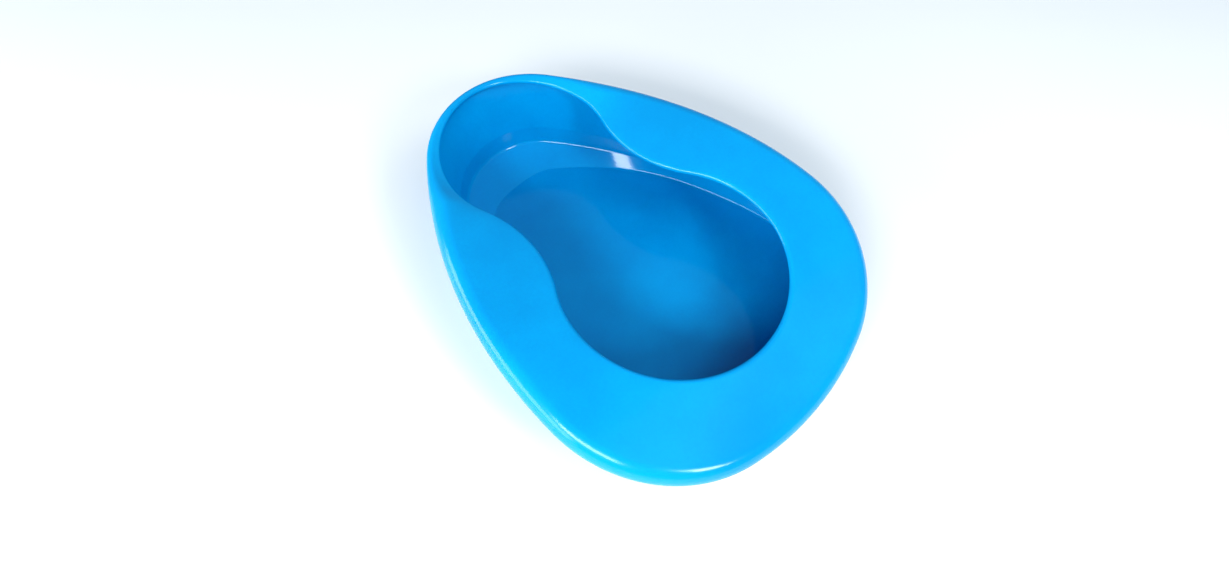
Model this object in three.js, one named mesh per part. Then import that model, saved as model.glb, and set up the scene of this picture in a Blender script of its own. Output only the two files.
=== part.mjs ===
// Bedpan with a contoured seat and a keyhole opening, in millimetres.
//
// +Z is up and z = 0 is the surface that the base stands on. +Y points to the narrow, raised pouring end
// and +X to the right, seen from the wide end. The two halves are mirror images about the YZ plane.
//
// The pan is two thin mouldings. seat_shell is the deck with its keyhole opening and the rounded outer
// edge. basin_shell is the bowl below it, with its flared wall, its pouring ramp and its flat base. Their
// edges butt just below the widest line of the rim, and rim_weld is the plastic that joins them.
//
// Every piece is swept round the outline. A section is drawn in the upright plane that holds the outline's
// inward normal: s is the distance in from the outer edge, and z is the height.

import * as THREE from 'three';

// Outline of the outer edge.
const LENGTH = 380;
const WIDTH = 296.5;
const WIDEST_Y = -71;
const NARROW_END_RADIUS = 87;
const WIDE_END_RADIUS = 243;

// Keyhole opening: a narrow lobe, a neck and a wide lobe.
const NARROW_LOBE = { y: 113, radius: 69.2 };
const WIDE_LOBE = { y: -48, radius: 88.5 };
const NECK_HALF_WIDTH = 58.7;

// Heights.
const RIM_HEIGHT = 68;
const RIM_RISE_NARROW = 12.3;
const RIM_DROP_WIDE = 33.5;
const RIM_SLOPE = 8.3;
const LIP_HEIGHT = 71.2;
const LIP_RISE_NARROW = 11.5;
const LIP_DROP_WIDE = 21;

// Rolled edge: its radius, the smaller one where the deck narrows round the pouring end, and how much
// lower the centre of the larger one lies.
const ROLL_RADIUS = 12;
const ROLL_RADIUS_NARROW = 3.9;
const ROLL_SINK = 3;
const NARROW_DECK = 8;
const FULL_DECK = 33;
const SEAM_ANGLE = THREE.MathUtils.degToRad(192);

// Lip of the opening, turned down: its outer radius, and the smaller one round the pouring end.
const LIP_RADIUS = 3.4;
const LIP_RADIUS_NARROW = 2.5;
const LIP_TURN = THREE.MathUtils.degToRad(85);

// Walls.
const WALL = 2.2;
const SEAM_GAP = 1;

// Inside of the bowl: insets from the outer edge and depths as a share of the rim's height over the floor.
const SHOULDER = { inset: 18.5, depth: 0.61 };
const FOOT = { inset: 20.5, depth: 0.83 };
const FLOOR_INSET = 22;
const RAMP_LENGTH = 32;
const RAMP_START_Y = -20;
const RAMP_POWER = 2.1;
const WIDE_END_EASE = 8;

// Away from the pouring end the wall stands further out and its foot is higher.
const SIDE_OUTSET = 6;
const SIDE_FOOT_LIFT = 0.08;
const SIDE_FADE = 100;
const SIDE_WALL_START_Y = 70;
const SIDE_FLOOR_START_Y = 20;

// Weld between the two edges: a web in the joint and a bead along its inner side.
const WEB = 0.4;
const WEB_RECESS = 0.3;
const BEAD_WIDTH = 1.2;
const BEAD_HEIGHT = 0.6;
const CLEARANCE = 0.3;

// Smoothness.
const STATIONS = 84;
const LIP_STEPS = 3;
const ROLL_STEPS = 6;
const CORNER_STEPS = 2;

const HALF_LENGTH = LENGTH / 2;
const HALF_WIDTH = WIDTH / 2;

// ---- Plan ----

// An arc about (x, y) from one angle to another, in radians anticlockwise from +X.
function arc(x, y, radius, from, to) {
  return { x, y, radius, from, to, length: Math.abs(to - from) * radius };
}

// Radius of the side arc that runs upright through the widest point and is tangent to an end arc.
function sideRadius(endY, endRadius) {
  const rise = endY - WIDEST_Y;
  return (HALF_WIDTH ** 2 + rise ** 2 - endRadius ** 2) / (2 * (HALF_WIDTH - endRadius));
}

// The outer edge on the +X side: four arcs from the narrow tip to the wide tip.
function outlineArcs() {
  const narrowY = HALF_LENGTH - NARROW_END_RADIUS;
  const wideY = WIDE_END_RADIUS - HALF_LENGTH;
  const upper = sideRadius(narrowY, NARROW_END_RADIUS);
  const lower = sideRadius(wideY, WIDE_END_RADIUS);
  const upperAngle = Math.atan2(narrowY - WIDEST_Y, upper - HALF_WIDTH);
  const lowerAngle = Math.atan2(WIDEST_Y - wideY, HALF_WIDTH - lower);
  return [
    arc(0, narrowY, NARROW_END_RADIUS, Math.PI / 2, upperAngle),
    arc(HALF_WIDTH - upper, WIDEST_Y, upper, upperAngle, 0),
    arc(HALF_WIDTH - lower, WIDEST_Y, lower, 0, lowerAngle),
    arc(0, wideY, WIDE_END_RADIUS, lowerAngle, -Math.PI / 2),
  ];
}

// The opening on the +X side: the two lobes, and the hollow neck arc that is tangent to both.
function openingArcs() {
  const a = NARROW_LOBE;
  const b = WIDE_LOBE;
  let radius = 100;
  let y = 0;
  for (let i = 0; i < 40; i += 1) {
    y = (a.y + b.y) / 2 + ((b.radius + radius) ** 2 - (a.radius + radius) ** 2) / (2 * (a.y - b.y));
    radius = ((y - a.y) ** 2 + NECK_HALF_WIDTH ** 2 - a.radius ** 2) / (2 * (a.radius - NECK_HALF_WIDTH));
  }
  const x = NECK_HALF_WIDTH + radius;
  const toNarrow = Math.atan2(y - a.y, x);
  const toWide = Math.atan2(y - b.y, x);
  return [
    arc(0, a.y, a.radius, Math.PI / 2, toNarrow),
    arc(x, y, radius, toNarrow + Math.PI, toWide + Math.PI),
    arc(0, b.y, b.radius, toWide, -Math.PI / 2),
  ];
}

// The point at a distance along a chain of arcs, with the unit vector towards that arc's centre.
function pointAlong(arcs, distance) {
  let rest = distance;
  let index = 0;
  while (index < arcs.length - 1 && rest > arcs[index].length) {
    rest -= arcs[index].length;
    index += 1;
  }
  const current = arcs[index];
  const share = Math.min(1, rest / current.length);
  const angle = current.from + (current.to - current.from) * share;
  return {
    x: current.x + current.radius * Math.cos(angle),
    y: current.y + current.radius * Math.sin(angle),
    inX: -Math.cos(angle),
    inY: -Math.sin(angle),
  };
}

// How far a ray from point p along its inward normal runs before it meets one of the arcs.
function distanceToArcs(p, arcs) {
  let nearest = Infinity;
  for (const a of arcs) {
    const dx = p.x - a.x;
    const dy = p.y - a.y;
    const along = dx * p.inX + dy * p.inY;
    const root = along ** 2 - (dx ** 2 + dy ** 2 - a.radius ** 2);
    for (const sign of root < 0 ? [] : [-1, 1]) {
      const t = -along + sign * Math.sqrt(root);
      const turn = Math.atan2(dy + t * p.inY, dx + t * p.inX);
      if (t > 0 && t < nearest && onArc(a, turn)) {
        nearest = t;
      }
    }
  }
  return nearest;
}

function onArc(a, angle) {
  const low = Math.min(a.from, a.to) - 1e-6;
  const high = Math.max(a.from, a.to) + 1e-6;
  const turned = angle < low ? angle + 2 * Math.PI : angle;
  return turned <= high;
}

// ---- Heights and radii along the rim ----

function rimHeight(y) {
  const u = y / HALF_LENGTH;
  const bend = (RIM_RISE_NARROW - RIM_DROP_WIDE) / 2;
  const cubic = (RIM_RISE_NARROW + RIM_DROP_WIDE) / 2 - RIM_SLOPE;
  return RIM_HEIGHT + RIM_SLOPE * u + bend * u ** 2 + cubic * u ** 3;
}

function lipHeight(y) {
  const u = y / HALF_LENGTH;
  return LIP_HEIGHT + (u > 0 ? LIP_RISE_NARROW : LIP_DROP_WIDE) * u ** 3;
}

// A size that grows with the width of the deck.
function sizeByDeck(deckWidth, narrow, full) {
  const share = THREE.MathUtils.smoothstep(deckWidth, NARROW_DECK, FULL_DECK);
  return THREE.MathUtils.lerp(narrow, full, share);
}

// How much of the fuller section of the sides a place has: none at the pouring end.
function sideShare(y, startY) {
  return 1 - THREE.MathUtils.smoothstep(y, startY - SIDE_FADE, startY);
}

function floorInset(y) {
  const ramp = Math.max(0, (y - RAMP_START_Y) / (HALF_LENGTH - RAMP_START_Y));
  const ease = Math.max(0, (RAMP_START_Y - y) / (HALF_LENGTH + RAMP_START_Y));
  const side = FLOOR_INSET - SIDE_OUTSET * sideShare(y, SIDE_FLOOR_START_Y);
  return side + RAMP_LENGTH * ramp ** RAMP_POWER + WIDE_END_EASE * ease ** 2;
}

// The stations round the outline, clockwise from the narrow tip, each with its section's own sizes.
function makeStations() {
  const outline = outlineArcs();
  const opening = openingArcs();
  const half = outline.reduce((sum, a) => sum + a.length, 0);
  const stations = [];
  for (let i = 0; i < STATIONS; i += 1) {
    const turn = (2 * i) / STATIONS;
    const mirrored = turn > 1;
    const p = pointAlong(outline, half * (mirrored ? 2 - turn : turn));
    const deck = distanceToArcs(p, opening);
    const roll = sizeByDeck(deck, ROLL_RADIUS_NARROW, ROLL_RADIUS);
    stations.push({
      x: mirrored ? -p.x : p.x,
      y: p.y,
      inX: mirrored ? -p.inX : p.inX,
      inY: p.inY,
      deck,
      roll,
      lip: sizeByDeck(deck, LIP_RADIUS_NARROW, LIP_RADIUS),
      rimZ: rimHeight(p.y + roll * p.inY) - sizeByDeck(deck, 0, ROLL_SINK),
      lipZ: lipHeight(p.y + deck * p.inY),
      floorInset: floorInset(p.y),
      side: sideShare(p.y, SIDE_WALL_START_Y),
    });
  }
  return stations;
}

// ---- Sections, as lists of [s, z] ----

// A point of the rolled edge: angle 0 points in, 90 degrees up and 180 degrees out.
function onRoll(station, radius, angle) {
  return [station.roll + radius * Math.cos(angle), station.rimZ + radius * Math.sin(angle)];
}

// The angle at which the flat deck leaves the roll, so that it runs straight to the lip.
function deckAngle(station) {
  const reach = station.deck - station.roll;
  const rise = station.lipZ - station.rimZ;
  const distance = Math.hypot(reach, rise);
  return Math.atan2(rise, reach) + Math.acos(Math.min(1, station.roll / distance));
}

// A point of the turned-down lip: turn 0 points square to the deck and 90 degrees along it, to the opening.
function onLip(station, radius, turn) {
  const start = deckAngle(station);
  const up = [Math.cos(start), Math.sin(start)];
  const along = [up[1], -up[0]];
  const rise = radius * Math.cos(turn) - station.lip;
  const reach = radius * Math.sin(turn) - station.lip;
  return [
    station.deck + rise * up[0] + reach * along[0],
    station.lipZ + rise * up[1] + reach * along[1],
  ];
}

// One face of the seat, from the lip out and over the roll to the seam, sunk by a depth.
function seatFace(station, depth) {
  const start = deckAngle(station);
  const face = [];
  for (let i = LIP_STEPS; i >= 0; i -= 1) {
    face.push(onLip(station, station.lip - depth, (LIP_TURN * i) / LIP_STEPS));
  }
  const foot = onRoll(station, station.roll - depth, start);
  face.push(between(face[LIP_STEPS], foot, 0.5));
  for (let i = 0; i <= ROLL_STEPS; i += 1) {
    const angle = start + ((SEAM_ANGLE - start) * i) / ROLL_STEPS;
    face.push(onRoll(station, station.roll - depth, angle));
  }
  return face;
}

function seatSection(station) {
  return [...seatFace(station, 0), ...seatFace(station, WALL).reverse()];
}

// The angle at which the basin's edge stands below the seam.
function basinAngle(station) {
  return SEAM_ANGLE + SEAM_GAP / station.roll;
}

// The inside of the bowl, from its edge at the seam down the wall and the ramp to the floor.
function basinInside(station) {
  const drop = station.rimZ - WALL;
  const outset = SIDE_OUTSET * station.side;
  const footDepth = FOOT.depth - SIDE_FOOT_LIFT * station.side;
  const corners = [
    onRoll(station, station.roll - WALL, basinAngle(station)),
    [SHOULDER.inset - outset, station.rimZ - SHOULDER.depth * drop],
    [FOOT.inset - outset, station.rimZ - footDepth * drop],
    [station.floorInset, WALL],
    [station.floorInset + RAMP_LENGTH / 2, WALL],
  ];
  const inside = [corners[0]];
  for (let i = 1; i < corners.length - 1; i += 1) {
    inside.push(...roundedCorner(corners[i - 1], corners[i], corners[i + 1]));
  }
  inside.push(corners[corners.length - 1]);
  return inside;
}

// A corner replaced by points on a smooth curve that starts a little before it and ends a little after it.
function roundedCorner(before, corner, after) {
  const reach = 0.4 * Math.min(distance(before, corner), distance(corner, after));
  const start = towards(corner, before, reach);
  const end = towards(corner, after, reach);
  const points = [];
  for (let i = 0; i <= CORNER_STEPS; i += 1) {
    const t = i / CORNER_STEPS;
    points.push(between(between(start, corner, t), between(corner, end, t), t));
  }
  return points;
}

function distance(a, b) {
  return Math.hypot(b[0] - a[0], b[1] - a[1]);
}

function between(a, b, t) {
  return [a[0] + (b[0] - a[0]) * t, a[1] + (b[1] - a[1]) * t];
}

function towards(a, b, reach) {
  return between(a, b, reach / distance(a, b));
}

// A line of points moved sideways by one wall thickness, to the outer side of the bowl.
function offsetLine(points, depth) {
  return points.map((p, i) => {
    const before = points[Math.max(0, i - 1)];
    const after = points[Math.min(points.length - 1, i + 1)];
    const first = sideways(i > 0 ? before : p, i > 0 ? p : after);
    const second = sideways(i < points.length - 1 ? p : before, i < points.length - 1 ? after : p);
    const scale = depth / (1 + first[0] * second[0] + first[1] * second[1]);
    return [p[0] + (first[0] + second[0]) * scale, p[1] + (first[1] + second[1]) * scale];
  });
}

// The unit vector square to the step from a to b, on its outer side.
function sideways(a, b) {
  const length = distance(a, b);
  return [(b[1] - a[1]) / length, (a[0] - b[0]) / length];
}

function basinSection(station) {
  const inside = basinInside(station);
  const outside = offsetLine(inside, WALL);
  return [...inside.reverse(), ...outside];
}

// A web between the two edges and a bead inside it, drawn about the middle of the joint.
function weldSection(station) {
  const angle = (SEAM_ANGLE + basinAngle(station)) / 2;
  const middle = onRoll(station, station.roll - WALL / 2, angle);
  const out = [Math.cos(angle), Math.sin(angle)];
  const down = [-out[1], out[0]];
  const outer = WALL / 2 - WEB_RECESS;
  const inner = -WALL / 2 - CLEARANCE;
  const shape = [
    [outer, -WEB / 2],
    [outer, WEB / 2],
    [inner, WEB / 2],
    [inner, BEAD_WIDTH / 2],
    [inner - BEAD_HEIGHT, BEAD_WIDTH / 2],
    [inner - BEAD_HEIGHT, -BEAD_WIDTH / 2],
    [inner, -BEAD_WIDTH / 2],
    [inner, -WEB / 2],
  ];
  return shape.map(([o, d]) => [middle[0] + o * out[0] + d * down[0], middle[1] + o * out[1] + d * down[1]]);
}

// ---- Solids ----

function geometryFrom(positions, triangles) {
  const geometry = new THREE.BufferGeometry();
  geometry.setAttribute('position', new THREE.Float32BufferAttribute(positions, 3));
  geometry.setIndex(triangles);
  geometry.computeVertexNormals();
  return geometry;
}

function placeSections(stations, sectionOf) {
  return stations.map((station) =>
    sectionOf(station).map(([s, z]) => [station.x + s * station.inX, station.y + s * station.inY, z]),
  );
}

// Two triangles for each step along the section between neighbouring stations.
function sweptTriangles(stationCount, pointCount, stepCount) {
  const triangles = [];
  for (let i = 0; i < stationCount; i += 1) {
    const next = (i + 1) % stationCount;
    for (let j = 0; j < stepCount; j += 1) {
      const k = (j + 1) % pointCount;
      const a = i * pointCount + j;
      const b = next * pointCount + j;
      const c = next * pointCount + k;
      const d = i * pointCount + k;
      triangles.push(a, b, c, a, c, d);
    }
  }
  return triangles;
}

// A ring: a closed section carried once round the outline.
function ring(stations, sectionOf) {
  const sections = placeSections(stations, sectionOf);
  const pointCount = sections[0].length;
  return geometryFrom(sections.flat(2), sweptTriangles(stations.length, pointCount, pointCount));
}

// A bowl: an open section carried round, closed by a flat underside and a flat floor.
function bowl(stations, sectionOf) {
  const sections = placeSections(stations, sectionOf);
  const pointCount = sections[0].length;
  const triangles = sweptTriangles(stations.length, pointCount, pointCount - 1);
  const positions = sections.flat(2);
  const centre = stations.length * pointCount;
  positions.push(0, WIDE_LOBE.y / 2, WALL, 0, WIDE_LOBE.y / 2, 0);
  for (let i = 0; i < stations.length; i += 1) {
    const next = (i + 1) % stations.length;
    triangles.push(centre, next * pointCount, i * pointCount);
    triangles.push(centre + 1, (i + 1) * pointCount - 1, (next + 1) * pointCount - 1);
  }
  return geometryFrom(positions, triangles);
}

function bluePlastic(color) {
  return new THREE.MeshStandardMaterial({ color, roughness: 0.3, metalness: 0 });
}

function named(name, geometry, material) {
  const mesh = new THREE.Mesh(geometry, material);
  mesh.name = name;
  return mesh;
}

const stations = makeStations();
const bedpan = new THREE.Group();
bedpan.add(
  named('seat_shell', ring(stations, seatSection), bluePlastic(0x00a0e8)),
  named('basin_shell', bowl(stations, basinSection), bluePlastic(0x0090e0)),
  named('rim_weld', ring(stations, weldSection), bluePlastic(0x0084cc)),
);

export default bedpan;
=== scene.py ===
"""Bedpan: the looks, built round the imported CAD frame.

Everything is in metres, in the frame of the CAD model: +Z up from the surface that the base stands on, and
+Y towards the narrow pouring end. Each moulding is swept round the outline as in the CAD. A section is drawn
in the upright plane of the outline's inward normal: s is the distance in from the outer edge, z the height.
"""

import math

import bpy
from mathutils import Matrix, Vector


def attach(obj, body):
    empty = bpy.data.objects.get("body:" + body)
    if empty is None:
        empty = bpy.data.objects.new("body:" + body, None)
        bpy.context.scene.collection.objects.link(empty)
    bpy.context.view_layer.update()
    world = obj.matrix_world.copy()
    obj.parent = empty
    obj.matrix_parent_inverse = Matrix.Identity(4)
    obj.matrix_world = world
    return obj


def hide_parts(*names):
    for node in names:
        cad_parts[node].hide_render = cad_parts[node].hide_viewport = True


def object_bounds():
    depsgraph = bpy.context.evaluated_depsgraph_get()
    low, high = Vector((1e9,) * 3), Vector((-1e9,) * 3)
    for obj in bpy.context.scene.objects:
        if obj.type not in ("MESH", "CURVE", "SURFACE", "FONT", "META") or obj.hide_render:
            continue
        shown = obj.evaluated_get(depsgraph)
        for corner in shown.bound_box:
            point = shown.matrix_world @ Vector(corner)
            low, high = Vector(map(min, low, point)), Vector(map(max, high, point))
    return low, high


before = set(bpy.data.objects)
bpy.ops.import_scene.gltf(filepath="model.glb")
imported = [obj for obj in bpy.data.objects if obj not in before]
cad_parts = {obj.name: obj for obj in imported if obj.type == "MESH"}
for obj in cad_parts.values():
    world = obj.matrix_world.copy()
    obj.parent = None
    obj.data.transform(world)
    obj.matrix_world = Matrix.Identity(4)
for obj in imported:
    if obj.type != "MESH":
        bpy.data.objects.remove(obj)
cad_low, cad_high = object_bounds()

MM = 0.001

# Outline of the outer edge.
HALF_LENGTH = 190 * MM
HALF_WIDTH = 148.25 * MM
WIDEST_Y = -71 * MM
NARROW_END_RADIUS = 87 * MM
WIDE_END_RADIUS = 243 * MM

# Keyhole opening: (y, radius) of each lobe, and the neck between them.
NARROW_LOBE = (113 * MM, 69.2 * MM)
WIDE_LOBE = (-48 * MM, 88.5 * MM)
NECK_HALF_WIDTH = 58.7 * MM

# Heights.
RIM_HEIGHT = 68 * MM
RIM_RISE_NARROW = 12.3 * MM
RIM_DROP_WIDE = 33.5 * MM
RIM_SLOPE = 8.3 * MM
LIP_HEIGHT = 71.2 * MM
LIP_RISE_NARROW = 11.5 * MM
LIP_DROP_WIDE = 21 * MM

# Rolled edge, deck and seam.
ROLL_RADIUS = 12 * MM
ROLL_RADIUS_NARROW = 3.9 * MM
NARROW_DECK = 8 * MM
FULL_DECK = 33 * MM
ROLL_SINK = 3 * MM
SEAM_ANGLE = math.radians(192)
SEAM_GAP = 1 * MM
WALL = 2.2 * MM

# Lip of the opening, which is turned down.
LIP_RADIUS = 3.4 * MM
LIP_RADIUS_NARROW = 2.5 * MM
LIP_TURN = math.radians(85)

# Inside of the bowl: (inset from the outer edge, depth as a share of the rim's height over the floor).
SHOULDER = (18.5 * MM, 0.61)
FOOT = (20.5 * MM, 0.83)
FLOOR_INSET = 22 * MM
RAMP_LENGTH = 32 * MM
RAMP_START_Y = -20 * MM
RAMP_POWER = 2.1
WIDE_END_EASE = 8 * MM

# Away from the pouring end the wall stands further out and its foot is higher.
SIDE_OUTSET = 6 * MM
SIDE_FOOT_LIFT = 0.08
SIDE_FADE = 100 * MM
SIDE_WALL_START_Y = 70 * MM
SIDE_FLOOR_START_Y = 20 * MM

# Weld: half its width as a share of the seam's gap, its hollow outside and its bead inside.
WELD_HALF_WIDTH = 0.52
WELD_HOLLOW = 0.45 * MM
WELD_HOLLOW_EASE = 0.15 * MM
BEAD_HEIGHT = 0.5 * MM
BEAD_HALF_WIDTH = 0.6 * MM

# Rounding of the edges and corners. An arc takes at most this share of the lines beside it.
ROUND_SHARE = 0.49
LIP_EDGE = 0.6 * MM
SEAM_EDGE = 0.3 * MM
SHOULDER_ROUND = 12 * MM
FOOT_ROUND = 5 * MM
FLOOR_ROUND = 3 * MM

# Fineness.
STATIONS = 360
LIP_STEPS = 8
DECK_STEPS = 10
ROLL_STEPS = 22
ROUND_STEPS = 6
DISC_RINGS = 14
NECK_ROUNDS = 40

# Plastics: the two colours that the pigment varies between, and the roughness.
SEAT_PLASTIC = ((0.0, 0.29, 0.62), (0.0, 0.34, 0.69), 0.16)
# The basin's two colours are the seat's blue made darker, as painted shade for the inside of the bowl.
BASIN_PLASTIC_SHADED = ((0.0, 0.25, 0.56), (0.0, 0.3, 0.63), 0.1)
WELD_PLASTIC = ((0.0, 0.2, 0.52), (0.0, 0.24, 0.6), 0.4)


# ---- Plan ----

class Arc:
    """An arc about (x, y) from one angle to another, in radians anticlockwise from +X."""

    def __init__(self, x, y, radius, start, end):
        self.x, self.y, self.radius, self.start, self.end = x, y, radius, start, end
        self.length = abs(end - start) * radius

    def holds(self, angle):
        low, high = sorted((self.start, self.end))
        turned = angle + 2 * math.pi if angle < low - 1e-6 else angle
        return turned <= high + 1e-6


def side_radius(end_y, end_radius):
    """Radius of the side arc that runs through the widest point and is tangent to an end arc."""
    rise = end_y - WIDEST_Y
    return (HALF_WIDTH**2 + rise**2 - end_radius**2) / (2 * (HALF_WIDTH - end_radius))


def outline_arcs():
    """The outer edge on the +X side, from the narrow tip to the wide tip."""
    narrow_y = HALF_LENGTH - NARROW_END_RADIUS
    wide_y = WIDE_END_RADIUS - HALF_LENGTH
    upper = side_radius(narrow_y, NARROW_END_RADIUS)
    lower = side_radius(wide_y, WIDE_END_RADIUS)
    upper_angle = math.atan2(narrow_y - WIDEST_Y, upper - HALF_WIDTH)
    lower_angle = math.atan2(WIDEST_Y - wide_y, HALF_WIDTH - lower)
    return [
        Arc(0, narrow_y, NARROW_END_RADIUS, math.pi / 2, upper_angle),
        Arc(HALF_WIDTH - upper, WIDEST_Y, upper, upper_angle, 0),
        Arc(HALF_WIDTH - lower, WIDEST_Y, lower, 0, lower_angle),
        Arc(0, wide_y, WIDE_END_RADIUS, lower_angle, -math.pi / 2),
    ]


def opening_arcs():
    """The opening on the +X side: two lobes, and the hollow neck arc that is tangent to both.

    Each round brings the neck arc's centre and radius closer to the ones that touch both lobes.
    """
    (a_y, a_radius), (b_y, b_radius) = NARROW_LOBE, WIDE_LOBE
    radius = 100 * MM
    for _ in range(NECK_ROUNDS):
        y = (a_y + b_y) / 2 + ((b_radius + radius) ** 2 - (a_radius + radius) ** 2) / (2 * (a_y - b_y))
        radius = ((y - a_y) ** 2 + NECK_HALF_WIDTH**2 - a_radius**2) / (2 * (a_radius - NECK_HALF_WIDTH))
    x = NECK_HALF_WIDTH + radius
    to_narrow = math.atan2(y - a_y, x)
    to_wide = math.atan2(y - b_y, x)
    return [
        Arc(0, a_y, a_radius, math.pi / 2, to_narrow),
        Arc(x, y, radius, to_narrow + math.pi, to_wide + math.pi),
        Arc(0, b_y, b_radius, to_wide, -math.pi / 2),
    ]


def point_along(arcs, distance):
    """The point at a distance along a chain of arcs, and the unit vector towards that arc's centre."""
    rest = distance
    index = 0
    while index < len(arcs) - 1 and rest > arcs[index].length:
        rest -= arcs[index].length
        index += 1
    a = arcs[index]
    angle = a.start + (a.end - a.start) * min(1, rest / a.length)
    inward = Vector((-math.cos(angle), -math.sin(angle)))
    return Vector((a.x, a.y)) - a.radius * inward, inward


def distance_to_arcs(point, inward, arcs):
    """How far a ray from the point runs inward before it meets one of the arcs."""
    hits = []
    for a in arcs:
        offset = point - Vector((a.x, a.y))
        along = offset.dot(inward)
        square = along**2 - (offset.length_squared - a.radius**2)
        if square < 0:
            continue
        for t in (-along - math.sqrt(square), -along + math.sqrt(square)):
            meeting = offset + t * inward
            if t > 0 and a.holds(math.atan2(meeting.y, meeting.x)):
                hits.append(t)
    return min(hits)


# ---- Heights and sizes along the rim ----

def rim_height(y):
    u = y / HALF_LENGTH
    bend = (RIM_RISE_NARROW - RIM_DROP_WIDE) / 2
    cubic = (RIM_RISE_NARROW + RIM_DROP_WIDE) / 2 - RIM_SLOPE
    return RIM_HEIGHT + RIM_SLOPE * u + bend * u**2 + cubic * u**3


def lip_height(y):
    u = y / HALF_LENGTH
    return LIP_HEIGHT + (LIP_RISE_NARROW if u > 0 else LIP_DROP_WIDE) * u**3


def smoothstep(value, low, high):
    t = min(1, max(0, (value - low) / (high - low)))
    return t * t * (3 - 2 * t)


def side_share(y, start_y):
    """How much of the fuller section of the sides a place has: none at the pouring end."""
    return 1 - smoothstep(y, start_y - SIDE_FADE, start_y)


def floor_inset(y):
    ramp = max(0, (y - RAMP_START_Y) / (HALF_LENGTH - RAMP_START_Y))
    ease = max(0, (RAMP_START_Y - y) / (HALF_LENGTH + RAMP_START_Y))
    side = FLOOR_INSET - SIDE_OUTSET * side_share(y, SIDE_FLOOR_START_Y)
    return side + RAMP_LENGTH * ramp**RAMP_POWER + WIDE_END_EASE * ease**2


class Station:
    """One place on the outline, with the sizes of its own section."""

    def __init__(self, point, inward, opening):
        self.point, self.inward = point, inward
        self.deck = distance_to_arcs(point, inward, opening)
        share = smoothstep(self.deck, NARROW_DECK, FULL_DECK)
        self.roll = ROLL_RADIUS_NARROW + (ROLL_RADIUS - ROLL_RADIUS_NARROW) * share
        self.lip = LIP_RADIUS_NARROW + (LIP_RADIUS - LIP_RADIUS_NARROW) * share
        self.rim_z = rim_height(point.y + self.roll * inward.y) - ROLL_SINK * share
        self.lip_z = lip_height(point.y + self.deck * inward.y)
        self.floor_inset = floor_inset(point.y)
        self.side = side_share(point.y, SIDE_WALL_START_Y)

    def on_lip(self, radius, turn):
        """A point of the turned-down lip: turn 0 points square to the deck and 90 degrees along it."""
        start = self.deck_angle()
        up = Vector((math.cos(start), math.sin(start)))
        along = Vector((up.y, -up.x))
        centre = Vector((self.deck, self.lip_z)) - self.lip * (up + along)
        return centre + radius * (math.cos(turn) * up + math.sin(turn) * along)

    def on_roll(self, radius, angle):
        """A point of the rolled edge: angle 0 points in, 90 degrees up and 180 degrees out."""
        return Vector((self.roll + radius * math.cos(angle), self.rim_z + radius * math.sin(angle)))

    def deck_angle(self):
        """The angle at which the deck leaves the roll, so that it runs straight to the lip."""
        reach = self.deck - self.roll
        rise = self.lip_z - self.rim_z
        return math.atan2(rise, reach) + math.acos(min(1, self.roll / math.hypot(reach, rise)))

    def place(self, s, z):
        plan = self.point + s * self.inward
        return Vector((plan.x, plan.y, z))


def make_stations():
    """The stations clockwise from the narrow tip; the -X side mirrors the +X side."""
    outline = outline_arcs()
    opening = opening_arcs()
    half = sum(a.length for a in outline)
    right = []
    for i in range(STATIONS // 2 + 1):
        point, inward = point_along(outline, half * 2 * i / STATIONS)
        right.append(Station(point, inward, opening))
    left = []
    for station in reversed(right[1:-1]):
        twin = Station(station.point, station.inward, opening)
        twin.point = Vector((-station.point.x, station.point.y))
        twin.inward = Vector((-station.inward.x, station.inward.y))
        left.append(twin)
    return right + left


# ---- Sections ----

def rounded(points, radii, closed):
    """The line through the points, with an arc of ROUND_STEPS steps at each point that has a radius."""
    line = []
    count = len(points)
    for i, (p, radius) in enumerate(zip(points, radii)):
        if radius == 0 or (not closed and i in (0, count - 1)):
            line.append(p)
            continue
        back = points[i - 1] - p
        forth = points[(i + 1) % count] - p
        half_angle = back.angle(forth) / 2
        shortest = min(back.length, forth.length)
        reach = min(radius / math.tan(half_angle), ROUND_SHARE * shortest)
        start = p + reach * back.normalized()
        end = p + reach * forth.normalized()
        bisector = (back.normalized() + forth.normalized()).normalized()
        centre = p + bisector * reach / math.cos(half_angle)
        sweep = math.pi - 2 * half_angle
        for j in range(ROUND_STEPS + 1):
            t = j / ROUND_STEPS
            first = math.sin((1 - t) * sweep) / math.sin(sweep)
            second = math.sin(t * sweep) / math.sin(sweep)
            line.append(centre + first * (start - centre) + second * (end - centre))
    return line


def seat_face(station, depth):
    """The lip, the deck and the roll down to the seam, sunk by a depth below the upper surface."""
    start = station.deck_angle()
    turns = [LIP_TURN * (1 - i / LIP_STEPS) for i in range(LIP_STEPS + 1)]
    face = [station.on_lip(station.lip - depth, turn) for turn in turns]
    edge = face[-1]
    foot = station.on_roll(station.roll - depth, start)
    face += [edge.lerp(foot, i / DECK_STEPS) for i in range(1, DECK_STEPS)]
    for i in range(ROLL_STEPS + 1):
        angle = start + (SEAM_ANGLE - start) * i / ROLL_STEPS
        face.append(station.on_roll(station.roll - depth, angle))
    return face


def seat_section(station):
    upper = seat_face(station, 0)
    lower = seat_face(station, WALL)
    lower.reverse()
    smooth = [0] * (len(upper) - 2)
    radii = [LIP_EDGE, *smooth, SEAM_EDGE, SEAM_EDGE, *smooth, LIP_EDGE]
    return rounded(upper + lower, radii, closed=True)


def basin_angle(station):
    """The angle at which the basin's edge stands below the seam."""
    return SEAM_ANGLE + SEAM_GAP / station.roll


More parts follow.
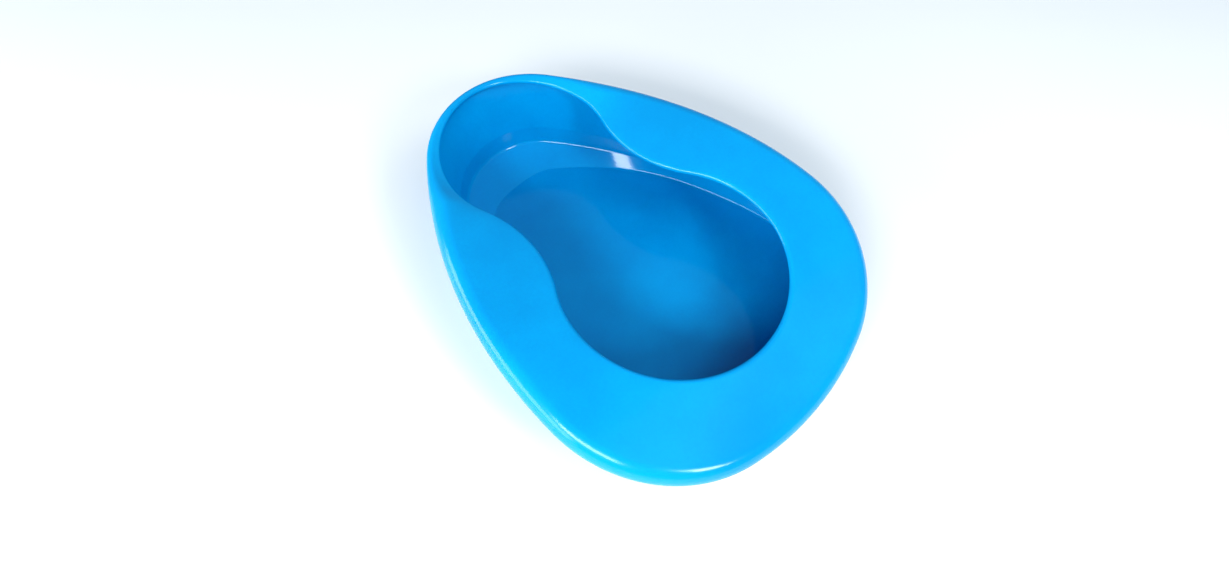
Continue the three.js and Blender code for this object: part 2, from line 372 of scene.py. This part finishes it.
def basin_inside(station):
    """The inside of the bowl, from its edge at the seam down the wall and the ramp to the floor."""
    drop = station.rim_z - WALL
    outset = SIDE_OUTSET * station.side
    foot_depth = FOOT[1] - SIDE_FOOT_LIFT * station.side
    corners = [
        station.on_roll(station.roll - WALL, basin_angle(station)),
        Vector((SHOULDER[0] - outset, station.rim_z - SHOULDER[1] * drop)),
        Vector((FOOT[0] - outset, station.rim_z - foot_depth * drop)),
        Vector((station.floor_inset, WALL)),
        Vector((station.floor_inset + RAMP_LENGTH / 2, WALL)),
    ]
    return rounded(corners, [0, SHOULDER_ROUND, FOOT_ROUND, FLOOR_ROUND, 0], closed=False)


def offset_line(points, depth):
    """A line of points moved sideways by a depth, to the outer side of the bowl."""
    moved = []
    for i, p in enumerate(points):
        before = points[max(0, i - 1)]
        after = points[min(len(points) - 1, i + 1)]
        along = (after - before).normalized()
        moved.append(p + depth * Vector((along.y, -along.x)))
    return moved


def basin_section(station):
    inside = basin_inside(station)
    outside = offset_line(inside, WALL)
    inside.reverse()
    edge = [inside[-1], outside[0]]
    rim = rounded([inside[-2], *edge, outside[1]], [0, SEAM_EDGE, SEAM_EDGE, 0], closed=False)
    return [*inside[:-2], *rim, *outside[2:]]


# ---- Meshes ----

def swept_faces(station_count, point_count, step_count):
    faces = []
    for i in range(station_count):
        n = (i + 1) % station_count
        for j in range(step_count):
            k = (j + 1) % point_count
            row, next_row = i * point_count, n * point_count
            faces.append((row + j, next_row + j, next_row + k, row + k))
    return faces


def mesh_object(name, vertices, faces):
    mesh = bpy.data.meshes.new(name)
    mesh.from_pydata(vertices, [], faces)
    mesh.validate()
    mesh.shade_smooth()
    piece = bpy.data.objects.new(name, mesh)
    bpy.context.scene.collection.objects.link(piece)
    return piece


def ring(name, stations, section_of):
    """A closed section carried once round the outline."""
    rows = [[s.place(*p) for p in section_of(s)] for s in stations]
    count = len(rows[0])
    vertices = [v for row in rows for v in row]
    return mesh_object(name, vertices, swept_faces(len(rows), count, count))


def disc(rows, index, height_at, flip, vertices, faces):
    """Closes a bowl at one end of its sections with rings that shrink to a centre point."""
    count = len(rows[0])
    first = [i * count + index % count for i in range(len(rows))]
    centre = Vector((0, WIDE_LOBE[0] / 2, 0))
    outer = first
    for r in range(1, DISC_RINGS):
        share = 1 - r / DISC_RINGS
        inner = []
        for i in first:
            p = centre.lerp(Vector((vertices[i].x, vertices[i].y, 0)), share)
            inner.append(len(vertices))
            vertices.append(Vector((p.x, p.y, height_at(p, share))))
        add_band(outer, inner, flip, faces)
        outer = inner
    tip = len(vertices)
    vertices.append(Vector((centre.x, centre.y, height_at(centre, 0))))
    for i, a in enumerate(outer):
        b = outer[(i + 1) % len(outer)]
        faces.append((a, b, tip) if flip else (b, a, tip))


def add_band(outer, inner, flip, faces):
    for i in range(len(outer)):
        n = (i + 1) % len(outer)
        band = (outer[i], outer[n], inner[n], inner[i])
        faces.append(band if flip else band[::-1])


def basin(name, stations):
    """The bowl: sections carried round the outline, closed by the floor and by the underside."""
    rows = [[s.place(*p) for p in basin_section(s)] for s in stations]
    count = len(rows[0])
    vertices = [v for row in rows for v in row]
    faces = swept_faces(len(rows), count, count - 1)
    disc(rows, 0, lambda p, share: WALL, False, vertices, faces)
    disc(rows, -1, lambda p, share: 0, True, vertices, faces)
    return mesh_object(name, vertices, faces)


def weld_section(station):
    """The remelted plastic in the joint: hollow outside, where it is trimmed, and a bead inside."""
    angle = (SEAM_ANGLE + basin_angle(station)) / 2
    middle = station.on_roll(station.roll - WALL / 2, angle)
    outward = Vector((math.cos(angle), math.sin(angle)))
    down = Vector((-outward.y, outward.x))
    half_width = WELD_HALF_WIDTH * SEAM_GAP
    outline = []
    for step in range(ROUND_STEPS + 1):
        t = 2 * step / ROUND_STEPS - 1
        outline.append((WALL / 2 - WELD_HOLLOW + WELD_HOLLOW_EASE * t * t, t * half_width))
    for step in range(2 * ROUND_STEPS + 1):
        turn = math.pi * (0.5 - step / (2 * ROUND_STEPS))
        outline.append((-WALL / 2 - BEAD_HEIGHT * math.cos(turn), BEAD_HALF_WIDTH * math.sin(turn)))
    return [middle + o * outward + d * down for o, d in outline]


# ---- Materials ----

def feed(tree, socket, value):
    """Links a socket to another one, or sets it to a value."""
    if isinstance(value, bpy.types.NodeSocket):
        tree.links.new(value, socket)
    else:
        socket.default_value = value


def add(tree, kind, **values):
    """A new node, with its named inputs fed and its settings set."""
    node = tree.nodes.new(kind)
    for key, value in values.items():
        if key in node.inputs:
            feed(tree, node.inputs[key], value)
        else:
            setattr(node, key, value)
    return node


def arithmetic(tree, operation, *terms, clamp=False):
    """The result of a maths node on its terms, which are sockets or numbers."""
    node = add(tree, "ShaderNodeMath", operation=operation, use_clamp=clamp)
    for socket, term in zip(node.inputs, terms):
        feed(tree, socket, term)
    return node.outputs[0]


def remap(tree, value, low, high, to_low=0.0, to_high=1.0):
    """A value's range from low to high, stretched to another range and clamped to it."""
    limits = {"From Min": low, "From Max": high, "To Min": to_low, "To Max": to_high}
    return add(tree, "ShaderNodeMapRange", Value=value, **limits).outputs["Result"]


def two_colours(tree, fac, start, end):
    """The colour between two others that a value picks; each is given as (position, colour)."""
    ramp = add(tree, "ShaderNodeValToRGB", Fac=fac)
    for element, (position, colour) in zip(ramp.color_ramp.elements, (start, end)):
        element.position = position
        element.color = (*colour, 1)
    return ramp.outputs["Color"]


def scratches(tree, place, turn):
    """Sparse hairlines in one direction, as a value from 0 to 1."""
    stretch = add(tree, "ShaderNodeMapping", Vector=place)
    stretch.inputs["Rotation"].default_value = (0.3, 0.2, turn)
    stretch.inputs["Scale"].default_value = (9.0, 420.0, 9.0)
    lines = add(tree, "ShaderNodeTexNoise", Vector=stretch.outputs["Vector"], Scale=1.0, Detail=1.0)
    patches = add(tree, "ShaderNodeTexNoise", Vector=place, Scale=14.0 + 3 * turn, Detail=1.0)
    thin = remap(tree, lines.outputs["Fac"], 0.69, 0.73)
    here = remap(tree, patches.outputs["Fac"], 0.48, 0.6)
    return arithmetic(tree, "MULTIPLY", thin, here)


def surface_normal(tree, place, grain, marks):
    """The slightly uneven skin of the moulding, its fine grain, and the cut of the scratches."""
    skin = add(tree, "ShaderNodeTexNoise", Vector=place, Scale=55.0, Detail=3.0, Roughness=0.4)
    soft = add(tree, "ShaderNodeBump", Height=skin.outputs["Fac"], Strength=0.06, Distance=0.002)
    fine = add(tree, "ShaderNodeBump", Height=grain, Strength=0.04, Distance=0.0004)
    cut = add(tree, "ShaderNodeBump", Height=marks, Strength=0.03, Distance=0.0003, invert=True)
    feed(tree, fine.inputs["Normal"], soft.outputs["Normal"])
    feed(tree, cut.inputs["Normal"], fine.outputs["Normal"])
    return cut.outputs["Normal"]


def plastic(name, deep, bright, roughness):
    """Glossy moulded polypropylene with uneven pigment, a fine grain, and scratches from use and washing."""
    material = bpy.data.materials.new(name)
    material.use_nodes = True
    tree = material.node_tree
    shader = tree.nodes["Principled BSDF"]
    place = add(tree, "ShaderNodeTexCoord").outputs["Object"]

    cloud = add(tree, "ShaderNodeTexNoise", Vector=place, Scale=11.0, Detail=3.0, Roughness=0.55)
    cloud = cloud.outputs["Fac"]
    grain = add(tree, "ShaderNodeTexNoise", Vector=place, Scale=420.0, Detail=2.0).outputs["Fac"]
    pigment = add(tree, "ShaderNodeMix", data_type="FLOAT", Factor=0.18, A=cloud, B=grain)
    colour = two_colours(tree, pigment.outputs["Result"], (0.36, deep), (0.64, bright))

    marks = scratches(tree, place, 0.4)
    for turn in (1.5, 2.6):
        marks = arithmetic(tree, "MAXIMUM", marks, scratches(tree, place, turn))
    haze = remap(tree, cloud, 0.3, 0.7, roughness - 0.04, roughness + 0.05)
    worn = arithmetic(tree, "MULTIPLY_ADD", marks, 0.05, haze, clamp=True)

    feed(tree, shader.inputs["Base Color"], colour)
    feed(tree, shader.inputs["Roughness"], worn)
    feed(tree, shader.inputs["Normal"], surface_normal(tree, place, grain, marks))
    shader.inputs["IOR"].default_value = 1.49
    shader.inputs["Specular IOR Level"].default_value = 0.4
    shader.inputs["Subsurface Weight"].default_value = 0.12
    shader.inputs["Subsurface Radius"].default_value = (0.1, 0.6, 1.0)
    shader.inputs["Subsurface Scale"].default_value = 0.004
    return material


def pale_floor():
    material = bpy.data.materials.new("pale_floor")
    material.use_nodes = True
    tree = material.node_tree
    shader = tree.nodes["Principled BSDF"]
    place = add(tree, "ShaderNodeTexCoord").outputs["Object"]
    cloud = add(tree, "ShaderNodeTexNoise", Vector=place, Scale=3.0, Detail=4.0)
    colour = two_colours(tree, cloud.outputs["Fac"], (0.0, (0.84, 0.845, 0.85)), (1.0, (0.88, 0.88, 0.88)))
    feed(tree, shader.inputs["Base Color"], colour)
    shader.inputs["Roughness"].default_value = 0.6
    return material


# ---- Studio ----

FLOOR_SIZE = 8.0
# The floor lies this far below the base, so that the two faces don't share a plane.
FLOOR_CLEARANCE = 0.3 * MM
SKY_COLOUR = (0.6, 0.82, 1.0, 1)
SKY_STRENGTH = 0.36
LIGHT_DISTANCE = 1.5
# Each light: name, direction from the pan, size, power, and whether the plastic mirrors it.
LIGHTS = (
    ("overhead", (0.15, -0.45, 0.88), (0.7, 0.7), 4, False),
    ("right_fill", (0.45, -0.5, 0.74), (0.6, 0.6), 4, False),
    ("left_softbox", (-0.75, -0.27, 0.6), (0.9, 0.34), 14, True),
    ("front_softbox", (-0.03, -0.78, 0.62), (0.26, 0.32), 6, True),
    ("window", (-0.88, 0.4, 0.26), (1.8, 0.6), 15, True),
)
CAMERA_TARGET = Vector((-0.0396, -0.0251, RIM_HEIGHT))
CAMERA_DISTANCE = 0.4523
CAMERA_AZIMUTH = math.radians(-47.82)
CAMERA_ELEVATION = math.radians(60.68)
CAMERA_ROLL = math.radians(1.51)
LENS = 17.97


def add_camera():
    camera = bpy.data.objects.new("camera", bpy.data.cameras.new("camera"))
    camera.data.lens = LENS
    camera.data.sensor_width = 36.0
    camera.data.clip_start = 0.01
    back = Vector((
        math.sin(CAMERA_AZIMUTH) * math.cos(CAMERA_ELEVATION),
        -math.cos(CAMERA_AZIMUTH) * math.cos(CAMERA_ELEVATION),
        math.sin(CAMERA_ELEVATION),
    ))
    turn = back.to_track_quat("Z", "Y").to_matrix().to_4x4() @ Matrix.Rotation(CAMERA_ROLL, 4, "Z")
    camera.matrix_world = Matrix.Translation(CAMERA_TARGET + CAMERA_DISTANCE * back) @ turn
    bpy.context.scene.collection.objects.link(camera)
    bpy.context.scene.camera = camera


def add_light(name, direction, size, power, mirrored):
    """A soft box that faces the pan from a direction; the plastic mirrors it unless it only fills."""
    light = bpy.data.lights.new(name, "AREA")
    light.shape = "RECTANGLE"
    light.size, light.size_y = size
    light.energy = power
    holder = bpy.data.objects.new(name, light)
    away = Vector(direction).normalized()
    centre = (cad_low + cad_high) / 2
    turn = away.to_track_quat("Z", "Y").to_matrix().to_4x4()
    holder.matrix_world = Matrix.Translation(centre + LIGHT_DISTANCE * away) @ turn
    holder.visible_glossy = mirrored
    bpy.context.scene.collection.objects.link(holder)


def add_floor():
    half = FLOOR_SIZE / 2
    z = -FLOOR_CLEARANCE
    corners = [(-half, -half, z), (half, -half, z), (half, half, z), (-half, half, z)]
    floor = mesh_object("floor", corners, [(0, 1, 2, 3)])
    floor.data.materials.append(pale_floor())


def add_sky():
    world = bpy.data.worlds.new("studio")
    world.use_nodes = True
    background = world.node_tree.nodes["Background"]
    background.inputs["Color"].default_value = SKY_COLOUR
    background.inputs["Strength"].default_value = SKY_STRENGTH
    bpy.context.scene.world = world


def add_studio():
    add_floor()
    add_sky()
    for light in LIGHTS:
        add_light(*light)
    bpy.context.scene.view_settings.view_transform = "Standard"
    bpy.context.scene.view_settings.look = "Medium High Contrast"


def add_pan():
    stations = make_stations()
    seat = ring("seat_moulding", stations, seat_section)
    bowl = basin("basin_moulding", stations)
    weld = ring("weld_line", stations, weld_section)
    # The basin takes the darker plastic, which is painted shade for the inside of the bowl.
    for piece, node, slot, look in (
        (seat, "seat_shell", "seat_plastic", SEAT_PLASTIC),
        (bowl, "basin_shell", "basin_plastic", BASIN_PLASTIC_SHADED),
        (weld, "rim_weld", "weld_plastic", WELD_PLASTIC),
    ):
        piece.data.materials.append(plastic(slot, *look))
        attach(piece, "root")
        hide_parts(node)


add_camera()
add_pan()
add_studio()
